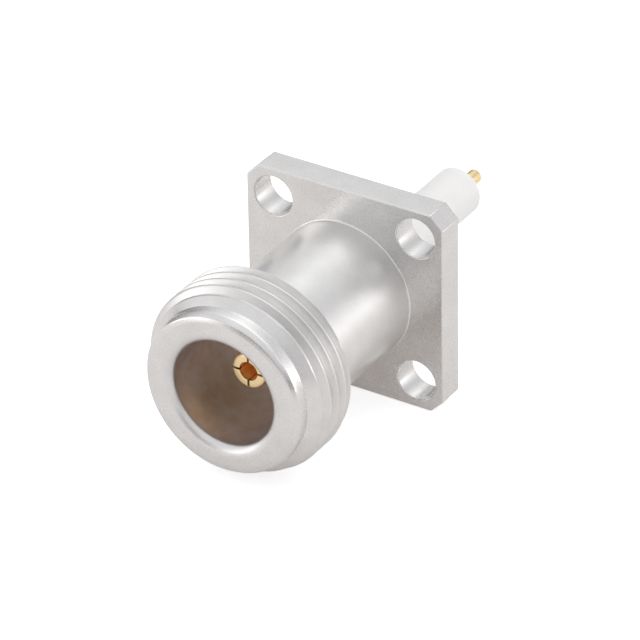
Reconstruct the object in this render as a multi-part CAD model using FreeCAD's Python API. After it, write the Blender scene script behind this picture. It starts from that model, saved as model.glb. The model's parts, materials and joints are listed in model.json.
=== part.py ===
"""Coaxial panel jack with a square four-hole flange, an extended white insulator and a solder pin.

The row frame: the jack's axis is Y, its mating end looks along -Y and its solder pin along +Y.
The flange's sides lie along X and Z.  The origin is the centre of the flange's rear face, the face
that seats on the panel.  All sizes are in millimetres.
"""
import FreeCAD
import Part
import math
import os

# Flange
FLANGE_SIDE = 17.5
FLANGE_THICKNESS = 2.4
FLANGE_CORNER_CHAMFER = 1.1
FLANGE_EDGE_BREAK = 0.12
HOLE_EDGE_DISTANCE = 2.4
HOLE_DIAMETER = 3.4
HOLE_EDGE_BREAK = 0.1

# Barrel between the flange and the coupling thread
NECK_DIAMETER = 11.6
NECK_ROOT_FILLET = 0.15

# Coupling thread, given by its major diameter, and the nose in front of it
FRONT_REACH = 20.2
THREAD_MAJOR_DIAMETER = 15.85
THREAD_REAR_SETBACK = 6.2
THREAD_REAR_CHAMFER = 0.35
LEAD_IN_LENGTH = 1.34
NOSE_DIAMETER = 13.6
NOSE_LENGTH = 1.44
NOSE_ROUNDING = 0.5

# Bores of the body, from the mouth to the panel face
MATING_BORE_DIAMETER = 8.8
MATING_BORE_DEPTH = 9.25
MOUTH_ROUNDING = 0.85
LINE_BORE_DIAMETER = 7.0
SEAT_BORE_DIAMETER = 8.0
SEAT_BORE_DEPTH = 7.0

# Rear bush that traps the insulator
BUSH_LENGTH = 2.6
BUSH_CHAMFER = 0.2
BUSH_BORE_CLEARANCE = 0.03

# Insulator
INSULATOR_FRONT_SETBACK = 0.5
INSULATOR_FIT_CLEARANCE = 0.02
INSULATOR_ROOT_DIAMETER = 4.5
INSULATOR_ROOT_PROUD = 0.1
INSULATOR_TAIL_DIAMETER = 4.1
INSULATOR_TAIL_REACH = 14.8
INSULATOR_TAIL_CHAMFER = 0.15

# Centre contact
SOCKET_DIAMETER = 3.04
SOCKET_TIP_SETBACK = 3.95
SOCKET_TIP_CHAMFER = 0.18
SOCKET_HOLE_DIAMETER = 1.56
SOCKET_HOLE_DEPTH = 4.9
SOCKET_MOUTH_CHAMFER = 0.12
SLOT_COUNT = 4
SLOT_WIDTH = 0.25
SLOT_LENGTH = 4.3
SHANK_DIAMETER = 2.14
SHANK_END_DEPTH = 2.9
BARB_DIAMETER = 2.6
BARB_LENGTH = 0.7
BARB_DEPTH = 5.2
CONDUCTOR_DIAMETER = 1.27
WAIST_DIAMETER = 0.86
WAIST_LENGTH = 0.65
PIN_SETBACK = 0.08
PIN_DIAMETER = 1.2
PIN_REACH = 17.5
PIN_TIP_CHAMFER = 0.2
CONTACT_CLEARANCE = 0.02

AXIS = FreeCAD.Vector(0, 1, 0)
ORIGIN = FreeCAD.Vector(0, 0, 0)

# Stations along the axis, worked out from the driving sizes
MOUTH_Y = -FRONT_REACH
REFERENCE_Y = MOUTH_Y + MATING_BORE_DEPTH
THREAD_REAR_Y = MOUTH_Y + THREAD_REAR_SETBACK
SOCKET_TIP_Y = MOUTH_Y + SOCKET_TIP_SETBACK
INSULATOR_FRONT_Y = REFERENCE_Y + INSULATOR_FRONT_SETBACK


def point(radius, y):
    """A point of a half section, at a radius from the axis."""
    return FreeCAD.Vector(radius, y, 0)


def line(start, end):
    return Part.LineSegment(start, end).toShape()


def arc(start, centre, radius, end):
    """The shorter arc about a centre from start to end."""
    middle = (start + end) * 0.5 - centre
    middle.normalize()
    return Part.Arc(start, centre + middle * radius, end).toShape()


def revolve(edges):
    """Turn a closed half section round the axis into a solid."""
    wire = Part.Wire(edges)
    return Part.Face(wire).revolve(ORIGIN, AXIS, 360)


def turned(stations):
    """Turn an outline given as (radius, y) corners that starts and ends on the axis."""
    corners = [point(radius, y) for radius, y in stations]
    ends = corners[1:] + corners[:1]
    return revolve([line(start, end) for start, end in zip(corners, ends)])


def cylinder(diameter, y_start, y_end):
    base = FreeCAD.Vector(0, y_start, 0)
    return Part.makeCylinder(diameter / 2, y_end - y_start, base, AXIS)


def flange_plate():
    """The square plate with its corners cut and its outline edges broken."""
    half = FLANGE_SIDE / 2
    cut = half - FLANGE_CORNER_CHAMFER
    outline = [(cut, half), (half, cut), (half, -cut), (cut, -half),
               (-cut, -half), (-half, -cut), (-half, cut), (-cut, half)]
    corners = [FreeCAD.Vector(x, 0, z) for x, z in outline]
    wire = Part.makePolygon(corners + corners[:1])
    plate = Part.Face(wire).extrude(FreeCAD.Vector(0, -FLANGE_THICKNESS, 0))
    outline_edges = [edge for edge in plate.Edges
                     if edge.BoundBox.YLength < FLANGE_THICKNESS / 2]
    return plate.makeChamfer(FLANGE_EDGE_BREAK, outline_edges)


def flange_hole_cutters():
    """One drill for each screw hole, with its mouths broken at both faces."""
    hole_radius = HOLE_DIAMETER / 2
    mouth_radius = hole_radius + HOLE_EDGE_BREAK
    front_y = -FLANGE_THICKNESS
    drill = turned([(0, HOLE_EDGE_BREAK), (mouth_radius + HOLE_EDGE_BREAK, HOLE_EDGE_BREAK),
                    (hole_radius, -HOLE_EDGE_BREAK),
                    (hole_radius, front_y + HOLE_EDGE_BREAK),
                    (mouth_radius + HOLE_EDGE_BREAK, front_y - HOLE_EDGE_BREAK),
                    (0, front_y - HOLE_EDGE_BREAK)])
    offset = FLANGE_SIDE / 2 - HOLE_EDGE_DISTANCE
    places = [FreeCAD.Vector(x, 0, z) for x in (-offset, offset) for z in (-offset, offset)]
    return [drill.translated(place) for place in places]


def turned_barrel():
    """The neck, the thread collar and the rounded nose, as one turned outline."""
    neck = NECK_DIAMETER / 2
    nose = NOSE_DIAMETER / 2
    major = THREAD_MAJOR_DIAMETER / 2
    flange_front = -FLANGE_THICKNESS
    fillet = NECK_ROOT_FILLET
    inside = point(0, flange_front / 2)
    under_fillet = point(neck + fillet, flange_front / 2)
    fillet_start = point(neck + fillet, flange_front)
    fillet_centre = point(neck + fillet, flange_front - fillet)
    neck_start = point(neck, flange_front - fillet)
    neck_end = point(neck, THREAD_REAR_Y)
    collar_edge = point(major - THREAD_REAR_CHAMFER, THREAD_REAR_Y)
    thread_rear = point(major, THREAD_REAR_Y - THREAD_REAR_CHAMFER)
    thread_front = point(major, MOUTH_Y + NOSE_LENGTH + LEAD_IN_LENGTH)
    nose_root = point(nose, MOUTH_Y + NOSE_LENGTH)
    rounding_start = point(nose, MOUTH_Y + NOSE_ROUNDING)
    rounding_centre = point(nose - NOSE_ROUNDING, MOUTH_Y + NOSE_ROUNDING)
    rounding_end = point(nose - NOSE_ROUNDING, MOUTH_Y)
    front_centre = point(0, MOUTH_Y)
    return revolve([
        line(inside, under_fillet),
        line(under_fillet, fillet_start),
        arc(fillet_start, fillet_centre, fillet, neck_start),
        line(neck_start, neck_end),
        line(neck_end, collar_edge),
        line(collar_edge, thread_rear),
        line(thread_rear, thread_front),
        line(thread_front, nose_root),
        line(nose_root, rounding_start),
        arc(rounding_start, rounding_centre, NOSE_ROUNDING, rounding_end),
        line(rounding_end, front_centre),
        line(front_centre, inside),
    ])


def body_bore():
    """The stepped bore: rounded mouth, mating bore, line bore and the insulator's seat."""
    mating = MATING_BORE_DIAMETER / 2
    over = MOUTH_ROUNDING
    front_outer = point(mating + MOUTH_ROUNDING, MOUTH_Y)
    rounding_centre = point(mating + MOUTH_ROUNDING, MOUTH_Y + MOUTH_ROUNDING)
    rounding_end = point(mating, MOUTH_Y + MOUTH_ROUNDING)
    corners = [
        rounding_end,
        point(mating, REFERENCE_Y),
        point(LINE_BORE_DIAMETER / 2, REFERENCE_Y),
        point(LINE_BORE_DIAMETER / 2, -SEAT_BORE_DEPTH),
        point(SEAT_BORE_DIAMETER / 2, -SEAT_BORE_DEPTH),
        point(SEAT_BORE_DIAMETER / 2, over),
        point(0, over),
        point(0, MOUTH_Y - over),
        point(mating + MOUTH_ROUNDING, MOUTH_Y - over),
        front_outer,
    ]
    edges = [line(start, end) for start, end in zip(corners[:-1], corners[1:])]
    edges.append(arc(front_outer, rounding_centre, MOUTH_ROUNDING, rounding_end))
    return revolve(edges)


def make_body():
    """The one-piece plated shell: flange, neck, thread collar and nose."""
    shell = flange_plate().fuse(turned_barrel())
    shell = shell.cut(body_bore())
    for cutter in flange_hole_cutters():
        shell = shell.cut(cutter)
    return shell.removeSplitter()


def make_retaining_bush():
    """The pressed-in rear bush, flush with the panel face, round the insulator's tail."""
    outer = SEAT_BORE_DIAMETER / 2
    inner = INSULATOR_ROOT_DIAMETER / 2 + BUSH_BORE_CLEARANCE
    return turned([(inner, 0), (outer, 0), (outer, -BUSH_LENGTH + BUSH_CHAMFER),
                   (outer - BUSH_CHAMFER, -BUSH_LENGTH), (inner, -BUSH_LENGTH)])


def barb_outline(clearance):
    """The contact's barb, which the insulator grips: steep towards the front, sloped behind."""
    shank = SHANK_DIAMETER / 2 + clearance
    top = BARB_DIAMETER / 2 + clearance
    front_y = -BARB_DEPTH - BARB_LENGTH / 2 - clearance
    rear_y = -BARB_DEPTH + BARB_LENGTH / 2 + clearance
    return [(0, front_y), (top, front_y), (shank, rear_y), (0, rear_y)]


def make_insulator():
    """The white stepped insulator: front bead, seated shoulder and long rear tail."""
    bead = LINE_BORE_DIAMETER / 2 - INSULATOR_FIT_CLEARANCE
    shoulder = SEAT_BORE_DIAMETER / 2 - INSULATOR_FIT_CLEARANCE
    root = INSULATOR_ROOT_DIAMETER / 2
    tail = INSULATOR_TAIL_DIAMETER / 2
    solid = turned([(0, INSULATOR_FRONT_Y), (bead, INSULATOR_FRONT_Y), (bead, -SEAT_BORE_DEPTH),
                    (shoulder, -SEAT_BORE_DEPTH), (shoulder, -BUSH_LENGTH), (root, -BUSH_LENGTH),
                    (root, INSULATOR_ROOT_PROUD), (tail, INSULATOR_ROOT_PROUD),
                    (tail, INSULATOR_TAIL_REACH - INSULATOR_TAIL_CHAMFER),
                    (tail - INSULATOR_TAIL_CHAMFER, INSULATOR_TAIL_REACH),
                    (0, INSULATOR_TAIL_REACH)])
    shank_bore = SHANK_DIAMETER + 2 * CONTACT_CLEARANCE
    conductor_bore = CONDUCTOR_DIAMETER + 2 * CONTACT_CLEARANCE
    solid = solid.cut(cylinder(shank_bore, INSULATOR_FRONT_Y - 1, -SHANK_END_DEPTH))
    solid = solid.cut(turned(barb_outline(CONTACT_CLEARANCE)))
    return solid.cut(cylinder(conductor_bore, -SHANK_END_DEPTH - 1, INSULATOR_TAIL_REACH + 1))


def contact_slot(turn):
    """One saw cut through a finger gap, at a turn in degrees about the axis."""
    reach = SOCKET_DIAMETER / 2 + SLOT_WIDTH
    length = SLOT_LENGTH + SLOT_WIDTH
    corner = FreeCAD.Vector(0, SOCKET_TIP_Y - SLOT_WIDTH, -SLOT_WIDTH / 2)
    cut = Part.makeBox(reach, length, SLOT_WIDTH, corner)
    cut.rotate(ORIGIN, AXIS, turn)
    return cut


def make_centre_contact():
    """The gold contact, turned in one piece: slotted socket, barbed shank and solder pin.

    A waist behind the pin keeps solder from creeping along the conductor into the insulator.
    """
    socket = SOCKET_DIAMETER / 2
    shank = SHANK_DIAMETER / 2
    conductor = CONDUCTOR_DIAMETER / 2
    waist = WAIST_DIAMETER / 2
    pin_start = INSULATOR_TAIL_REACH + PIN_SETBACK
    conductor_end = pin_start - WAIST_LENGTH
    pin = PIN_DIAMETER / 2
    solid = turned([(0, SOCKET_TIP_Y), (socket - SOCKET_TIP_CHAMFER, SOCKET_TIP_Y),
                    (socket, SOCKET_TIP_Y + SOCKET_TIP_CHAMFER), (socket, INSULATOR_FRONT_Y),
                    (shank, INSULATOR_FRONT_Y), (shank, -SHANK_END_DEPTH),
                    (conductor, -SHANK_END_DEPTH), (conductor, conductor_end),
                    (waist, conductor_end), (waist, pin_start),
                    (pin, pin_start), (pin, PIN_REACH - PIN_TIP_CHAMFER),
                    (pin - PIN_TIP_CHAMFER, PIN_REACH), (0, PIN_REACH)])
    solid = solid.fuse(turned(barb_outline(0)))
    hole = SOCKET_HOLE_DIAMETER / 2
    mouth = hole + SOCKET_MOUTH_CHAMFER
    hole_end = SOCKET_TIP_Y + SOCKET_HOLE_DEPTH
    cone_length = hole * math.tan(math.radians(30))
    solid = solid.cut(turned([(0, SOCKET_TIP_Y), (mouth, SOCKET_TIP_Y),
                              (hole, SOCKET_TIP_Y + SOCKET_MOUTH_CHAMFER),
                              (hole, hole_end), (0, hole_end + cone_length)]))
    for index in range(SLOT_COUNT):
        solid = solid.cut(contact_slot(index * 360 / SLOT_COUNT))
    return solid.removeSplitter()


def main():
    os.makedirs("parts", exist_ok=True)
    pieces = {
        "body": make_body(),
        "retaining_bush": make_retaining_bush(),
        "insulator": make_insulator(),
        "centre_contact": make_centre_contact(),
    }
    for name, shape in pieces.items():
        solid = shape.Solids[0] if len(shape.Solids) == 1 else shape
        print(name, "solids", len(shape.Solids), "valid", shape.isValid(), "volume", round(shape.Volume, 2))
        solid.exportStep(os.path.join("parts", name + ".step"))


main()
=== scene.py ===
"""Looks of the coaxial panel jack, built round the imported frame.

Lengths are in metres.  The jack's axis is Y, its mating end looks along -Y, and +Z is up.
"""
import bisect
import bmesh
import bpy
import json
import math
from mathutils import Matrix, Vector


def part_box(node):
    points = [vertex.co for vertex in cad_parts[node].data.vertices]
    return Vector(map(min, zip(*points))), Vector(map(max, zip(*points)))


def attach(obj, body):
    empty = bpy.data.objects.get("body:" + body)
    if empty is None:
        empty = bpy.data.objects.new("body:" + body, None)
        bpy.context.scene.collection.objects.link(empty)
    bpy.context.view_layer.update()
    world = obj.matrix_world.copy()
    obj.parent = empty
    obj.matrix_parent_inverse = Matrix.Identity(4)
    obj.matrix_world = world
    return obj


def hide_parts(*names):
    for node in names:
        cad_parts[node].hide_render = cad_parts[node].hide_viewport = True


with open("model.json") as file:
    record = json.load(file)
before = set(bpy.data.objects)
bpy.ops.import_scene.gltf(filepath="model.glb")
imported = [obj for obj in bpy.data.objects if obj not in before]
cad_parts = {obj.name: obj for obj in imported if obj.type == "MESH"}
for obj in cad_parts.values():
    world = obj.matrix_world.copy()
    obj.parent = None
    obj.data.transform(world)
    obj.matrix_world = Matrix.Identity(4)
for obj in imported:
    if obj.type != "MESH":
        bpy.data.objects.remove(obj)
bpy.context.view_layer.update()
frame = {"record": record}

MM = 0.001
TURN = 2 * math.pi
MOUNTS = {mount["name"]: mount for mount in frame["record"]["mounts"]}


def mount_size(mount, size):
    """One of the sizes that the record gives for a mount."""
    return MOUNTS[mount]["dims"][size] * MM


# Sizes that the frame gives
BODY_LOW, BODY_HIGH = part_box("body")
INSULATOR_LOW, INSULATOR_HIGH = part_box("insulator")
CONTACT_LOW, CONTACT_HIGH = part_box("centre_contact")
BUSH_LOW, BUSH_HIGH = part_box("retaining_bush")
FLANGE_HALF = BODY_HIGH.x
MOUTH_Y = BODY_LOW.y
HOLE_OFFSET = mount_size("panel_bolts", "spacing_x_mm") / 2
HOLE_RADIUS = mount_size("panel_bolts", "hole_r_mm")
THREAD_MAJOR = mount_size("coupling_thread", "r_mm")
SOCKET_HOLE = mount_size("contact_socket", "r_mm")
TAIL_RADIUS = mount_size("dielectric_spigot", "r_mm")
PIN_RADIUS = mount_size("solder_pin", "r_mm")
SEAT_RADIUS = BUSH_HIGH.x
SOCKET_RADIUS = CONTACT_HIGH.x
SHOULDER_RADIUS = INSULATOR_HIGH.x

# Shell sizes that repeat the solid's own
FLANGE_THICKNESS = 2.4 * MM
FLANGE_CORNER_CUT = 1.1 * MM
FLANGE_EDGE_BREAK = 0.12 * MM
HOLE_EDGE_BREAK = 0.1 * MM
NECK_RADIUS = 5.8 * MM
NECK_ROOT_FILLET = 0.15 * MM
COLLAR_REAR_Y = MOUTH_Y + 6.2 * MM
COLLAR_REAR_CHAMFER = 0.35 * MM
NOSE_RADIUS = 6.8 * MM
NOSE_ROOT_Y = MOUTH_Y + 1.44 * MM
MATING_BORE_RADIUS = 4.4 * MM
REFERENCE_Y = MOUTH_Y + 9.25 * MM
LINE_BORE_RADIUS = 3.5 * MM
SEAT_START_Y = -7.0 * MM

# Shell details that only the scene has.  The nose's edge and the mouth's curve were measured from
# the photograph: (radius, distance behind the mouth, fillet) in millimetres, and (width, depth).
NOSE_EDGE = ((6.8, 0.9, 0), (6.8, 0.5, 0.3), (6.55, 0.14, 0.25), (6.15, 0, 0.25), (5.9, 0, 0))
MOUTH_CURVE = (1.0 * MM, 0.65 * MM)
THREAD_FRONT_Y = MOUTH_Y + 2.65 * MM
FLANGE_CORNER_BREAK = 0.14 * MM
COLLAR_REAR_FILLET = 0.1 * MM
COLLAR_REAR_OVERLAP = 0.1 * MM
BORE_RING_Y = -15 * MM
REFERENCE_FILLET = 0.05 * MM
LINE_BORE_FILLET = 0.1 * MM

# Thread form: 24 turns to the inch, 60 degrees between the flanks.  At THREAD_CREST_TURN, counted
# from the top towards +X, a crest lies at THREAD_CREST_Y.
THREAD_PITCH = 25.4 * MM / 24
THREAD_DEPTH = 0.60 * MM
FLANK_ANGLE = math.radians(30)
CREST_WIDTH = 0.15 * MM
CREST_ROUNDING = 0.08 * MM
ROOT_ROUNDING = 0.12 * MM
THREAD_CREST_Y = -17.305 * MM
THREAD_CREST_TURN = 45 / 360
THREAD_TURNS = range(-3, 5)
EDGE_BLEND = 0.04 * MM

# Insulator, bush and contact sizes that repeat the solids' own
FIT_CLEARANCE = 0.02 * MM
INSULATOR_ROOT_STEP = 0.2 * MM
INSULATOR_ROOT_PROUD = 0.1 * MM
BUSH_BORE_STEP = 0.23 * MM
CONDUCTOR_BORE_RADIUS = 0.655 * MM
SHANK_BORE_RADIUS = 1.09 * MM
SHANK_RADIUS = 1.07 * MM
SHANK_END_Y = -2.9 * MM
CONDUCTOR_RADIUS = 0.635 * MM
WAIST_RADIUS = 0.43 * MM
WAIST_LENGTH = 0.65 * MM
PIN_SETBACK = 0.08 * MM
SOCKET_HOLE_DEPTH = 4.9 * MM
SLOT_LENGTH = 4.3 * MM

# Insulator, bush and contact details that only the scene has
SLOT_WIDTH = 0.19 * MM
DRILL_POINT = 0.45 * MM
BUSH_RING_SETBACK = 0.1 * MM
BEAD_ROUNDING = 0.08 * MM
TAIL_ROUNDING = 0.15 * MM
SOCKET_TIP_ROUNDING = 0.3 * MM
PIN_SHOULDER_ROUNDING = 0.02 * MM
END_ROUNDING = 0.2 * MM
SMALL_ROUNDING = 0.05 * MM
FINE_ROUNDING = 0.04 * MM

# Mesh fineness
SHELL_SEGMENTS = 288
HOLE_SEGMENTS = 96
SMALL_SEGMENTS = 144
MOUTH_STEPS = 12
BREAK_STEPS = 4
ARC_STEP = math.radians(9)
THREAD_ROW_STEP = THREAD_PITCH / 30
SHARP_ANGLE = math.radians(28)
WELD_DISTANCE = 0.0005 * MM
SHORTEST_EDGE = 0.0002 * MM

# Colours, each pair from the darker to the lighter tone, the gold's from outside to inside its
# hole, where its inner colour is painted orange light.  The bore's pair is a painted warm
# reflection.
PLATING_COLOURS = (0.68, 0.668, 0.652, 1), (0.785, 0.782, 0.775, 1)
PAINTED_BORE_REFLECTION_COLOURS = (0.78, 0.67, 0.59, 1), (0.87, 0.79, 0.76, 1)
GOLD_AND_HOLE_LIGHT_COLOURS = (0.93, 0.745, 0.43, 1), (1.0, 0.50, 0.12, 1)
PLASTIC_COLOURS = (0.835, 0.825, 0.805, 1), (0.895, 0.885, 0.865, 1)
WHITE = (1, 1, 1, 1)

# What noise turns into: noise from, noise to, result from, result to
PATCH_TONE = (0.3, 0.7, 0.10, 0.55)
GRAIN_TONE = (0.33, 0.67, 0, 0.35)
MOTTLE_TONE = (0.35, 0.65, 0, 1)
PLATING_POLISH = (0.3, 0.7, 0.23, 0.29)
GOLD_POLISH = (0.3, 0.7, 0.18, 0.28)

# Zones of the plating in millimetres, each fading in from its first number to its second.  A depth
# counts from the mouth.
FRONT_END_Y = (-9.0, -10.0)
BORE_ZONE_RADIUS = (4.7, 4.42)
BORE_ZONE_DEPTH = (0.5, 1.0)
MOUTH_ZONE_RADIUS = (5.3, 4.5)
TURNED_ZONE_RADIUS = (5.0, 5.4)
TURNED_ZONE_Y = (-2.42, -2.5)
TURNED_ZONE_DEPTH = (1.5, 2.0)
TURNED_ROUGHNESS = 0.09
MOUTH_ROUGHNESS = 0.13
BORE_METALLIC = 0.94
GRAIN_HEIGHT = 0.6
LINE_HEIGHT = 0.4

# Zones of the gold in millimetres, in the same way, where orange light is painted in the contact's
# hole and slots.  A radius counts from the hole's wall, a depth from the contact's tip, and
# SLOT_LIGHT_HALF_WIDTH from the middle of a slot.
HOLE_WALL_RADIUS = (0.03, 0.01)
SLOT_LIGHT_HALF_WIDTH = (0.11, 0.10)
SLOT_LIGHT_DEPTH = (0.4, 0.7)
SLOT_LIGHT_RADIUS = (0.35, 0.2)
HOLE_START_DEPTH = (0.1, 0.3)
HOLE_END_DEPTH = (6.0, 5.5)
HOLE_ROUGHNESS = 0.3
HOLE_METALLIC = 0.3

# Floor: it lies a hair under the flange, so that the two surfaces don't coincide
FLOOR_GAP = 0.02 * MM
FLOOR_HALF = 1.5
FLOOR_PAPER = (0.80, 0.80, 0.80, 1)
FLOOR_CAMERA_GLOW = 0.6
FLOOR_MIRRORED_GLOW = (0.130, 0.104, 0.092, 1)

# Soft lights round the part: azimuth and elevation in degrees, then strength
SOFTBOXES = (
    (111, 3, 3.42), (-42, 3, 2.23), (-69, 3, 1.82), (125, 3, 1.41), (-166, 58, 1.17),
    (42, 3, 0.79), (82, 30, 0.71), (138, 58, 0.68), (142, 16, 0.51), (-16, 30, 0.47),
    (-65, 30, 0.44), (-131, 30, 0.35), (16, 30, 0.27), (-147, 30, 0.15))
SOFTBOX_SHARPNESS = 32.0
SURROUND_GLOW = (0.164, 0.143, 0.156, 1)
CEILING_GLOW = (0.881, 0.918, 0.919, 1)

# Camera, fitted to the photograph: angles in degrees, steps across the line of sight, lens in mm
CAMERA_AZIMUTH = 32.27
CAMERA_ELEVATION = 31.88
CAMERA_ROLL = -0.975
CAMERA_DISTANCE = 410.06 * MM
CAMERA_SIDE_STEP = -3.166 * MM
CAMERA_LIFT = -3.534 * MM
CAMERA_LENS = 298.9
SENSOR_WIDTH = 36.0


def rounded(corners):
    """Fillet the corners of an open outline given as (radius, y, fillet) and return its points."""
    points = []
    for index, (radius, y, fillet) in enumerate(corners):
        corner = Vector((radius, y))
        if fillet == 0 or index in (0, len(corners) - 1):
            points.append(corner)
            continue
        before = (Vector(corners[index - 1][:2]) - corner).normalized()
        after = (Vector(corners[index + 1][:2]) - corner).normalized()
        half_angle = before.angle(after) / 2
        centre = corner + (before + after).normalized() * fillet / math.sin(half_angle)
        start = corner + before * fillet / math.tan(half_angle) - centre
        end = corner + after * fillet / math.tan(half_angle) - centre
        sweep = math.pi - 2 * half_angle
        steps = max(2, round(sweep / ARC_STEP))
        for step in range(steps + 1):
            share = step / steps
            along = math.sin((1 - share) * sweep) * start + math.sin(share * sweep) * end
            points.append(centre + along / math.sin(sweep))
    return [tuple(point) for point in points]


def mouth_edge():
    """Quarter of an ellipse from the flat front face to the mating bore's wall."""
    wide, deep = MOUTH_CURVE
    points = []
    for step in range(MOUTH_STEPS + 1):
        tilt = TURN / 4 * step / MOUTH_STEPS
        points.append((MATING_BORE_RADIUS + wide * (1 - math.sin(tilt)),
                       MOUTH_Y + deep * (1 - math.cos(tilt))))
    return points


def add_ring(mesh, ring, segments):
    """A circle of vertices, or one on the axis. A ring is (radius, y) or a function of the turn."""
    if not callable(ring) and ring[0] == 0:
        return [mesh.verts.new((0, ring[1], 0))]
    loop = []
    for segment in range(segments):
        radius, y = ring(segment / segments) if callable(ring) else ring
        angle = TURN * segment / segments
        loop.append(mesh.verts.new((radius * math.sin(angle), y, radius * math.cos(angle))))
    return loop


def bridge(mesh, first, second):
    """Faces between two neighbouring rings, which may be single points."""
    count = max(len(first), len(second))
    for index in range(count):
        following = (index + 1) % count
        corners = [first[index % len(first)], first[following % len(first)],
                   second[following % len(second)], second[index % len(second)]]
        corners = list(dict.fromkeys(corners))
        if len(corners) > 2:
            mesh.faces.new(corners)


def add_lathe(mesh, rings, segments):
    """Turned surface through the rings; returns its first and last loops."""
    loops = [add_ring(mesh, ring, segments) for ring in rings]
    for first, second in zip(loops, loops[1:]):
        bridge(mesh, first, second)
    return loops[0], loops[-1]


def fill_flat(mesh, loops, facing):
    """A flat face between loops, with its borders marked sharp."""
    edges = [mesh.edges.get((loop[index - 1], loop[index]))
             for loop in loops for index in range(len(loop))]
    bmesh.ops.triangle_fill(mesh, use_beauty=True, edges=edges, normal=facing)
    for edge in edges:
        edge.smooth = False


def to_object(mesh, name):
    """Make a bmesh an object in the scene."""
    data = bpy.data.meshes.new(name)
    mesh.to_mesh(data)
    mesh.free()
    piece = bpy.data.objects.new(name, data)
    bpy.context.scene.collection.objects.link(piece)
    return piece


def finish_mesh(mesh, name):
    """Clean a bmesh and make it an object."""
    bmesh.ops.remove_doubles(mesh, verts=mesh.verts[:], dist=WELD_DISTANCE)
    bmesh.ops.dissolve_degenerate(mesh, edges=mesh.edges[:], dist=SHORTEST_EDGE)
    bmesh.ops.recalc_face_normals(mesh, faces=mesh.faces[:])
    return to_object(mesh, name)


def apply_modifiers(piece):
    """Replace the piece's mesh by its evaluated one and drop its modifiers."""
    graph = bpy.context.evaluated_depsgraph_get()
    evaluated = bpy.data.meshes.new_from_object(piece.evaluated_get(graph))
    piece.modifiers.clear()
    piece.data = evaluated


def shade(piece):
    """Shade smooth with sharp edges kept, and keep wide faces flat right up to their roundings."""
    mesh = bmesh.new()
    mesh.from_mesh(piece.data)
    for face in mesh.faces:
        face.smooth = True
    for edge in mesh.edges:
        if edge.calc_face_angle(0) > SHARP_ANGLE:
            edge.smooth = False
    mesh.to_mesh(piece.data)
    mesh.free()
    normals = piece.modifiers.new("normals", "WEIGHTED_NORMAL")
    normals.mode = "FACE_AREA"
    normals.keep_sharp = True
    apply_modifiers(piece)


def flange_outline(inset):
    """Points (x, z) of the flange's eight-sided outline, set in by a distance, corners rounded."""
    straight = FLANGE_HALF - FLANGE_CORNER_BREAK
    beside_cut = FLANGE_HALF - FLANGE_CORNER_CUT - (math.sqrt(2) - 1) * FLANGE_CORNER_BREAK
    radius = FLANGE_CORNER_BREAK - inset
    points = []
    for quarter in range(4):
        turn = Matrix.Rotation(-quarter * TURN / 4, 2)
        for centre, start in (((beside_cut, straight), 90), ((straight, beside_cut), 45)):
            for step in range(BREAK_STEPS + 1):
                angle = math.radians(start - 45 * step / BREAK_STEPS)
                offset = Vector((radius * math.cos(angle), radius * math.sin(angle)))
                points.append(turn @ (Vector(centre) + offset))
    return points


def add_flange_rim(mesh):
    """The flange's outer rim with both edges rounded; returns its front and rear loops."""
    front_y = -FLANGE_THICKNESS
    levels = []
    for step in range(BREAK_STEPS + 1):
        angle = math.radians(90) * step / BREAK_STEPS
        inset = FLANGE_EDGE_BREAK * (1 - math.sin(angle))
        levels.append((inset, front_y + FLANGE_EDGE_BREAK * (1 - math.cos(angle))))
    levels += [(inset, front_y - y) for inset, y in reversed(levels)]
    loops = [[mesh.verts.new((x, y, z)) for x, z in flange_outline(inset)] for inset, y in levels]
    for first, second in zip(loops, loops[1:]):
        bridge(mesh, first, second)
    return loops[0], loops[-1]


def add_hole(mesh, x, z):
    """One of the flange's holes with its edges rounded; returns its front and rear loops."""
    wide = HOLE_RADIUS + HOLE_EDGE_BREAK
    before = len(mesh.verts)
    loops = add_lathe(mesh, rounded([
        (wide, -FLANGE_THICKNESS, 0), (HOLE_RADIUS, -FLANGE_THICKNESS, HOLE_EDGE_BREAK),
        (HOLE_RADIUS, 0, HOLE_EDGE_BREAK), (wide, 0, 0)]), HOLE_SEGMENTS)
    mesh.verts.ensure_lookup_table()
    bmesh.ops.translate(mesh, verts=mesh.verts[before:], vec=(x, 0, z))
    return loops


def thread_section():
    """Depth below the crest over one pitch: (place, depth) from one crest's middle to the next."""
    flank = THREAD_DEPTH * math.tan(FLANK_ANGLE)
    crest_end = CREST_WIDTH / 2
    root_start = crest_end + flank
    root_end = THREAD_PITCH - root_start
    outline = rounded([
        (0, 0, 0), (crest_end, 0, CREST_ROUNDING), (root_start, THREAD_DEPTH, ROOT_ROUNDING),
        (root_end, THREAD_DEPTH, ROOT_ROUNDING), (THREAD_PITCH - crest_end, 0, CREST_ROUNDING),
        (THREAD_PITCH, 0, 0)])
    fine = []
    for (place, depth), (next_place, next_depth) in zip(outline, outline[1:]):
        pieces = max(1, math.ceil((next_place - place) / THREAD_ROW_STEP))
        fine += [(place + (next_place - place) * step / pieces,
                  depth + (next_depth - depth) * step / pieces) for step in range(pieces)]
    return fine + outline[-1:]


def soft_min(first, second, blend):
    """The smaller of two values, blended where they are closer than the blend."""
    near = max(blend - abs(first - second), 0) / blend
    return min(first, second) - near * near * blend / 4


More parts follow.
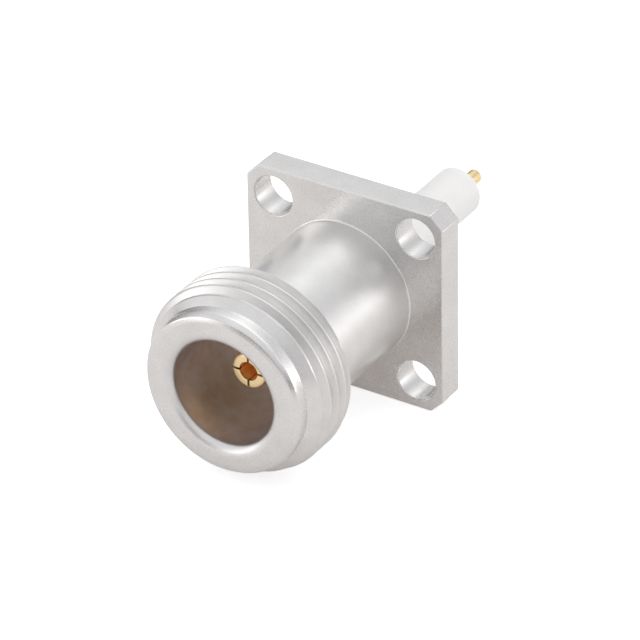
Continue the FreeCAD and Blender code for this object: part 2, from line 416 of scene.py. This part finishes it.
def thread_radius(y, turn, section):
    """The collar's radius at a place: the groove, cut back by the lead-in and the rear chamfer."""
    phase = ((y - THREAD_CREST_Y) / THREAD_PITCH - turn + THREAD_CREST_TURN) % 1 * THREAD_PITCH
    following = min(bisect.bisect_right(section, (phase, math.inf)), len(section) - 1)
    (place, depth), (next_place, next_depth) = section[following - 1], section[following]
    depth += (next_depth - depth) * (phase - place) / (next_place - place)
    cone_slope = (THREAD_MAJOR - NOSE_RADIUS) / (THREAD_FRONT_Y - NOSE_ROOT_Y)
    on_cone = NOSE_RADIUS + (y - NOSE_ROOT_Y) * cone_slope
    on_chamfer = THREAD_MAJOR - COLLAR_REAR_CHAMFER + (COLLAR_REAR_Y - y)
    limited = soft_min(THREAD_MAJOR - depth, on_cone, EDGE_BLEND)
    return soft_min(limited, on_chamfer, EDGE_BLEND)


def add_thread(mesh, segments):
    """The threaded collar, in rows that climb one pitch a turn; returns its rear edge's ring."""
    section = thread_section()
    rows = [THREAD_CREST_Y + turn * THREAD_PITCH + place
            for turn in THREAD_TURNS for place, _ in section[:-1]]
    columns = []
    for segment in range(segments + 1):
        turn = segment / segments
        across, upward = math.sin(TURN * turn), math.cos(TURN * turn)
        column = []
        for row in rows:
            y = row + (turn - THREAD_CREST_TURN) * THREAD_PITCH
            y = min(max(y, NOSE_ROOT_Y), COLLAR_REAR_Y)
            radius = thread_radius(y, turn, section)
            column.append(mesh.verts.new((radius * across, y, radius * upward)))
        columns.append(column)
    for left, right in zip(columns, columns[1:]):
        for index in range(len(rows) - 1):
            mesh.faces.new((left[index], left[index + 1], right[index + 1], right[index]))
    return lambda turn: (thread_radius(COLLAR_REAR_Y, turn, section), COLLAR_REAR_Y)


def make_shell():
    """The plated shell: flange, drilled holes, neck, threaded collar, nose and stepped bore."""
    mesh = bmesh.new()
    neck = rounded([
        (NECK_RADIUS + NECK_ROOT_FILLET, -FLANGE_THICKNESS, 0),
        (NECK_RADIUS, -FLANGE_THICKNESS, NECK_ROOT_FILLET),
        (NECK_RADIUS, COLLAR_REAR_Y, COLLAR_REAR_FILLET),
        (THREAD_MAJOR - THREAD_DEPTH - COLLAR_REAR_OVERLAP, COLLAR_REAR_Y, 0)])
    nose = [(NOSE_RADIUS, NOSE_ROOT_Y)] + rounded([
        (radius * MM, MOUTH_Y + depth * MM, fillet * MM) for radius, depth, fillet in NOSE_EDGE])
    bores = rounded([
        (MATING_BORE_RADIUS, BORE_RING_Y, 0), (MATING_BORE_RADIUS, REFERENCE_Y, REFERENCE_FILLET),
        (LINE_BORE_RADIUS, REFERENCE_Y, LINE_BORE_FILLET), (LINE_BORE_RADIUS, SEAT_START_Y, 0),
        (SEAT_RADIUS, SEAT_START_Y, 0), (SEAT_RADIUS, 0, 0)])
    rear_edge = add_thread(mesh, SHELL_SEGMENTS)
    neck_loop, _ = add_lathe(mesh, neck + [rear_edge], SHELL_SEGMENTS)
    _, seat_loop = add_lathe(mesh, nose + mouth_edge() + bores, SHELL_SEGMENTS)
    rims = [add_flange_rim(mesh)]
    for x in (-HOLE_OFFSET, HOLE_OFFSET):
        for z in (-HOLE_OFFSET, HOLE_OFFSET):
            rims.append(add_hole(mesh, x, z))
    fill_flat(mesh, [neck_loop] + [front for front, _ in rims], (0, -1, 0))
    fill_flat(mesh, [seat_loop] + [rear for _, rear in rims], (0, 1, 0))
    return finish_mesh(mesh, "plated_shell")


def make_turned(name, corners):
    """A closed turned piece. Its outline ends on the axis, or where it starts."""
    mesh = bmesh.new()
    add_lathe(mesh, rounded(corners), SMALL_SEGMENTS)
    return finish_mesh(mesh, name)


def make_insulator():
    """The white insulator: bead, shoulder, root land and long tail with a softened end."""
    bead = LINE_BORE_RADIUS - FIT_CLEARANCE
    root = TAIL_RADIUS + INSULATOR_ROOT_STEP
    return make_turned("white_insulator", [
        (SHANK_BORE_RADIUS, INSULATOR_LOW.y, 0), (bead, INSULATOR_LOW.y, BEAD_ROUNDING),
        (bead, SEAT_START_Y, 0), (SHOULDER_RADIUS, SEAT_START_Y, SMALL_ROUNDING),
        (SHOULDER_RADIUS, BUSH_LOW.y, SMALL_ROUNDING), (root, BUSH_LOW.y, 0),
        (root, INSULATOR_ROOT_PROUD, FINE_ROUNDING), (TAIL_RADIUS, INSULATOR_ROOT_PROUD, 0),
        (TAIL_RADIUS, INSULATOR_HIGH.y, TAIL_ROUNDING),
        (CONDUCTOR_BORE_RADIUS, INSULATOR_HIGH.y, FINE_ROUNDING),
        (CONDUCTOR_BORE_RADIUS, SHANK_END_Y, 0), (SHANK_BORE_RADIUS, SHANK_END_Y, 0),
        (SHANK_BORE_RADIUS, INSULATOR_LOW.y, 0)])


def make_bush():
    """The pressed-in bush, flush with the panel face."""
    inner = TAIL_RADIUS + BUSH_BORE_STEP
    ring_y = BUSH_HIGH.y - BUSH_RING_SETBACK
    return make_turned("rear_bush", [
        (inner, ring_y, 0), (inner, BUSH_HIGH.y, SMALL_ROUNDING),
        (SEAT_RADIUS, BUSH_HIGH.y, SMALL_ROUNDING), (SEAT_RADIUS, BUSH_LOW.y, END_ROUNDING),
        (inner, BUSH_LOW.y, 0), (inner, ring_y, 0)])


def make_contact():
    """The gold contact: a slotted socket in front, a shank in the insulator and the solder pin."""
    tip_y = CONTACT_LOW.y
    hole_end = tip_y + SOCKET_HOLE_DEPTH
    waist_end = INSULATOR_HIGH.y + PIN_SETBACK
    waist_start = waist_end - WAIST_LENGTH
    piece = make_turned("gold_contact", [
        (0, hole_end + DRILL_POINT, 0), (SOCKET_HOLE, hole_end, 0),
        (SOCKET_HOLE, tip_y, SMALL_ROUNDING), (SOCKET_RADIUS, tip_y, SOCKET_TIP_ROUNDING),
        (SOCKET_RADIUS, INSULATOR_LOW.y, SMALL_ROUNDING), (SHANK_RADIUS, INSULATOR_LOW.y, 0),
        (SHANK_RADIUS, SHANK_END_Y, 0), (CONDUCTOR_RADIUS, SHANK_END_Y, 0),
        (CONDUCTOR_RADIUS, waist_start, 0), (WAIST_RADIUS, waist_start, 0),
        (WAIST_RADIUS, waist_end, 0), (PIN_RADIUS, waist_end, PIN_SHOULDER_ROUNDING),
        (PIN_RADIUS, CONTACT_HIGH.y, END_ROUNDING), (0, CONTACT_HIGH.y, 0)])
    cut_slots(piece, tip_y)
    return piece


def cut_slots(piece, tip_y):
    """Two crossing saw cuts make the four finger gaps."""
    over = 0.3 * MM
    middle = tip_y + (SLOT_LENGTH - over) / 2
    for wide_axis in (0, 2):
        size = [SLOT_WIDTH, SLOT_LENGTH + over, SLOT_WIDTH]
        size[wide_axis] = 2 * (SOCKET_RADIUS + over)
        mesh = bmesh.new()
        bmesh.ops.create_cube(mesh, size=1)
        bmesh.ops.scale(mesh, verts=mesh.verts[:], vec=size)
        bmesh.ops.translate(mesh, verts=mesh.verts[:], vec=(0, middle, 0))
        cutter = to_object(mesh, "slot_cutter")
        cut = piece.modifiers.new("slot", "BOOLEAN")
        cut.operation = "DIFFERENCE"
        cut.solver = "EXACT"
        cut.object = cutter
        apply_modifiers(piece)
        bpy.data.objects.remove(cutter)


class Nodes:
    """A short way to write a material's node tree."""

    def __init__(self, tree):
        self.tree = tree
        tree.nodes.clear()

    def add(self, kind, inputs=(), **settings):
        node = self.tree.nodes.new(kind)
        for name, value in settings.items():
            setattr(node, name, value)
        for socket, value in dict(inputs).items():
            if isinstance(value, bpy.types.NodeSocket):
                self.tree.links.new(value, node.inputs[socket])
            else:
                node.inputs[socket].default_value = value
        return node

    def math(self, operation, first, second=0.0, third=0.0):
        node = self.add("ShaderNodeMath", {0: first, 1: second, 2: third}, operation=operation)
        return node.outputs[0]

    def product(self, first, *others):
        for other in others:
            first = self.math("MULTIPLY", first, other)
        return first

    def remap(self, value, low, high, to_low, to_high):
        node = self.add("ShaderNodeMapRange", {
            "Value": value, "From Min": low, "From Max": high,
            "To Min": to_low, "To Max": to_high})
        return node.outputs["Result"]

    def fade(self, value, ends, base=0.0):
        """From 0 at the first end to 1 at the second: millimetres, from a base in metres."""
        return self.remap(value, base / MM + ends[0], base / MM + ends[1], 0, 1)

    def mix(self, factor, colours):
        node = self.add("ShaderNodeMix", {
            "Factor": factor, "A": colours[0], "B": colours[1]}, data_type="RGBA")
        return node.outputs["Result"]

    def noise(self, vector, scale, roughness=0.5):
        node = self.add("ShaderNodeTexNoise", {
            "Vector": vector, "Scale": scale, "Detail": 3.0, "Roughness": roughness})
        return node.outputs["Fac"]

    def place_in_mm(self):
        """The place on the object in millimetres."""
        place = self.add("ShaderNodeTexCoord").outputs["Object"]
        return self.add("ShaderNodeVectorMath", {
            0: place, 1: (1 / MM, 1 / MM, 1 / MM)}, operation="MULTIPLY").outputs[0]

    def axes(self, place):
        """A place's X, Y and Z and its distance from the Y axis."""
        x, y, z = self.add("ShaderNodeSeparateXYZ", {0: place}).outputs
        squares = self.math("ADD", self.product(x, x), self.product(z, z))
        return x, y, z, self.math("SQRT", squares)

    def surface(self, inputs, height, strength, distance):
        """A Principled shader with a bump, joined to the material's output."""
        bump = self.add("ShaderNodeBump", {
            "Height": height, "Strength": strength, "Distance": distance})
        shader = self.add("ShaderNodeBsdfPrincipled", {**inputs, "Normal": bump.outputs["Normal"]})
        self.add("ShaderNodeOutputMaterial", {"Surface": shader.outputs[0]})


def new_material(name):
    material = bpy.data.materials.new(name)
    material.use_nodes = True
    return material, Nodes(material.node_tree)


def plated_material():
    """Satin silver-white plating with faint turning lines, and a mottled, painted warm reflection
    in its bore.
    """
    material, nodes = new_material("satin_plating")
    place = nodes.place_in_mm()
    _, y, _, radius = nodes.axes(place)
    turned_place = nodes.add("ShaderNodeCombineXYZ", {"X": radius, "Y": y}).outputs[0]
    grain = nodes.noise(place, scale=6.0, roughness=0.6)
    patches = nodes.noise(place, scale=0.6)
    lines = nodes.noise(turned_place, scale=4.0)
    mottle = nodes.noise(place, scale=0.9, roughness=0.6)
    front_end = nodes.fade(y, FRONT_END_Y)
    bore = nodes.product(nodes.fade(radius, BORE_ZONE_RADIUS),
                         nodes.fade(y, BORE_ZONE_DEPTH, MOUTH_Y), front_end)
    mouth = nodes.product(front_end, nodes.fade(radius, MOUTH_ZONE_RADIUS))
    turned = nodes.product(nodes.fade(y, TURNED_ZONE_Y), nodes.fade(y, TURNED_ZONE_DEPTH, MOUTH_Y),
                           nodes.fade(radius, TURNED_ZONE_RADIUS))
    tone = nodes.math("ADD", nodes.remap(patches, *PATCH_TONE), nodes.remap(grain, *GRAIN_TONE))
    outside = nodes.mix(tone, PLATING_COLOURS)
    # The bore's colour is a painted warm reflection, mottled at random.
    inside = nodes.mix(nodes.remap(mottle, *MOTTLE_TONE), PAINTED_BORE_REFLECTION_COLOURS)
    polish = nodes.remap(grain, *PLATING_POLISH)
    roughness = nodes.math("MULTIPLY_ADD", turned, TURNED_ROUGHNESS, nodes.math(
        "MULTIPLY_ADD", mouth, MOUTH_ROUGHNESS, polish))
    height = nodes.math("ADD", nodes.product(grain, GRAIN_HEIGHT),
                        nodes.product(lines, LINE_HEIGHT))
    nodes.surface({
        "Base Color": nodes.mix(bore, (outside, inside)), "Roughness": roughness,
        "Metallic": nodes.remap(bore, 0, 1, 1.0, BORE_METALLIC)},
        height, strength=0.16, distance=0.02 * MM)
    return material


def gold_material():
    """Bright gold plating, rougher inside the contact's hole and slots, where deep orange light is
    painted.
    """
    material, nodes = new_material("gold_plating")
    place = nodes.place_in_mm()
    x, y, z, radius = nodes.axes(place)
    grain = nodes.noise(place, scale=8.0)
    tip_y = CONTACT_LOW.y
    # Painted orange light on the hole's wall and, from a little behind the tip, on the slots'
    # sides.
    drilled = nodes.fade(radius, HOLE_WALL_RADIUS, SOCKET_HOLE)
    off_slot = nodes.math("MINIMUM", nodes.math("ABSOLUTE", x), nodes.math("ABSOLUTE", z))
    slot_light = nodes.product(nodes.fade(y, SLOT_LIGHT_DEPTH, tip_y),
                         nodes.fade(radius, SLOT_LIGHT_RADIUS, SOCKET_HOLE),
                         nodes.fade(off_slot, SLOT_LIGHT_HALF_WIDTH))
    depth = nodes.product(nodes.fade(y, HOLE_START_DEPTH, tip_y),
                          nodes.fade(y, HOLE_END_DEPTH, tip_y))
    hole = nodes.product(nodes.math("MAXIMUM", drilled, slot_light), depth)
    roughness = nodes.math("ADD", nodes.remap(grain, *GOLD_POLISH),
                           nodes.product(hole, HOLE_ROUGHNESS))
    nodes.surface({
        "Base Color": nodes.mix(hole, GOLD_AND_HOLE_LIGHT_COLOURS), "Roughness": roughness,
        "Metallic": nodes.remap(hole, 0, 1, 1.0, HOLE_METALLIC)},
        grain, strength=0.1, distance=0.01 * MM)
    return material


def insulator_material():
    """Dense white plastic that lets a little light through."""
    material, nodes = new_material("white_plastic")
    cloud = nodes.noise(nodes.place_in_mm(), scale=1.2)
    nodes.surface({
        "Base Color": nodes.mix(cloud, PLASTIC_COLOURS), "Roughness": 0.42,
        "Subsurface Weight": 0.5, "Subsurface Radius": (1.0, 1.0, 1.0),
        "Subsurface Scale": 1.0 * MM}, cloud, strength=0.1, distance=0.02 * MM)
    return material


def place_piece(piece, node, material):
    """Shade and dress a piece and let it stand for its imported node."""
    shade(piece)
    piece.data.materials.clear()
    piece.data.materials.append(material)
    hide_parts(node)
    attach(piece, "root")


def make_floor():
    """A pale floor under the flange's lowest edge, white to the camera where no shadow falls."""
    mesh = bmesh.new()
    bmesh.ops.create_grid(mesh, x_segments=1, y_segments=1, size=FLOOR_HALF)
    floor = to_object(mesh, "floor")
    floor.location.z = BODY_LOW.z - FLOOR_GAP
    material, nodes = new_material("floor_paper")
    ray = nodes.add("ShaderNodeLightPath").outputs
    paper = nodes.add("ShaderNodeBsdfDiffuse", {"Color": FLOOR_PAPER})
    seen = nodes.add("ShaderNodeEmission", {
        "Color": WHITE, "Strength": nodes.product(ray["Is Camera Ray"], FLOOR_CAMERA_GLOW)})
    mirrored = nodes.add("ShaderNodeEmission", {
        "Color": FLOOR_MIRRORED_GLOW, "Strength": ray["Is Glossy Ray"]})
    both = nodes.add("ShaderNodeAddShader", {0: paper.outputs[0], 1: seen.outputs[0]})
    shown = nodes.add("ShaderNodeAddShader", {0: both.outputs[0], 1: mirrored.outputs[0]})
    nodes.add("ShaderNodeOutputMaterial", {"Surface": shown.outputs[0]})
    floor.data.materials.append(material)


def bearing(azimuth, elevation):
    """Unit vector towards an azimuth, counted from the front towards +X, and an elevation."""
    azimuth, elevation = math.radians(azimuth), math.radians(elevation)
    across = math.cos(elevation)
    return Vector((math.sin(azimuth) * across, -math.cos(azimuth) * across, math.sin(elevation)))


def make_world():
    """Soft lights in pale surroundings that brighten overhead, and plain white to the camera."""
    world = bpy.data.worlds.new("studio")
    bpy.context.scene.world = world
    world.use_nodes = True
    nodes = Nodes(world.node_tree)
    direction = nodes.add("ShaderNodeTexCoord").outputs["Generated"]
    boxes = 0.0
    for azimuth, elevation, strength in SOFTBOXES:
        towards = nodes.add("ShaderNodeVectorMath", {
            0: direction, 1: bearing(azimuth, elevation)}, operation="DOT_PRODUCT").outputs["Value"]
        falloff = nodes.math("EXPONENT", nodes.product(
            nodes.math("SUBTRACT", towards, 1.0), SOFTBOX_SHARPNESS))
        boxes = nodes.math("MULTIPLY_ADD", falloff, strength, boxes)
    height = nodes.add("ShaderNodeSeparateXYZ", {0: direction}).outputs["Z"]
    ceiling = nodes.math("MAXIMUM", height, 0.0)
    lit = None
    for colour, strength in ((WHITE, boxes), (SURROUND_GLOW, 1.0), (CEILING_GLOW, ceiling)):
        glow = nodes.add("ShaderNodeBackground", {"Color": colour, "Strength": strength}).outputs[0]
        lit = nodes.add("ShaderNodeAddShader", {0: lit, 1: glow}).outputs[0] if lit else glow
    ray = nodes.add("ShaderNodeLightPath")
    white = nodes.add("ShaderNodeBackground", {"Color": WHITE, "Strength": 1.0})
    shown = nodes.add("ShaderNodeMixShader", {
        "Fac": ray.outputs["Is Camera Ray"], 1: lit, 2: white.outputs[0]})
    nodes.add("ShaderNodeOutputWorld", {"Surface": shown.outputs[0]})


def make_camera():
    """A long lens at the photograph's viewing angle, a little off the line to the origin."""
    azimuth, roll = math.radians(CAMERA_AZIMUTH), math.radians(CAMERA_ROLL)
    back = bearing(CAMERA_AZIMUTH, CAMERA_ELEVATION)
    level_right = Vector((math.cos(azimuth), math.sin(azimuth), 0))
    level_up = back.cross(level_right)
    right = level_right * math.cos(roll) + level_up * math.sin(roll)
    up = level_up * math.cos(roll) - level_right * math.sin(roll)
    data = bpy.data.cameras.new("camera")
    data.lens = CAMERA_LENS
    data.sensor_width = SENSOR_WIDTH
    data.clip_start = 0.01
    data.clip_end = 10.0
    camera = bpy.data.objects.new("camera", data)
    bpy.context.scene.collection.objects.link(camera)
    axes = Matrix((right, up, back)).transposed().to_4x4()
    place = right * CAMERA_SIDE_STEP + up * CAMERA_LIFT + back * CAMERA_DISTANCE
    camera.matrix_world = Matrix.Translation(place) @ axes
    bpy.context.scene.camera = camera


make_camera()
plating = plated_material()
place_piece(make_shell(), "body", plating)
place_piece(make_bush(), "retaining_bush", plating)
place_piece(make_insulator(), "insulator", insulator_material())
place_piece(make_contact(), "centre_contact", gold_material())
make_floor()
make_world()
bpy.context.scene.view_settings.view_transform = "Standard"
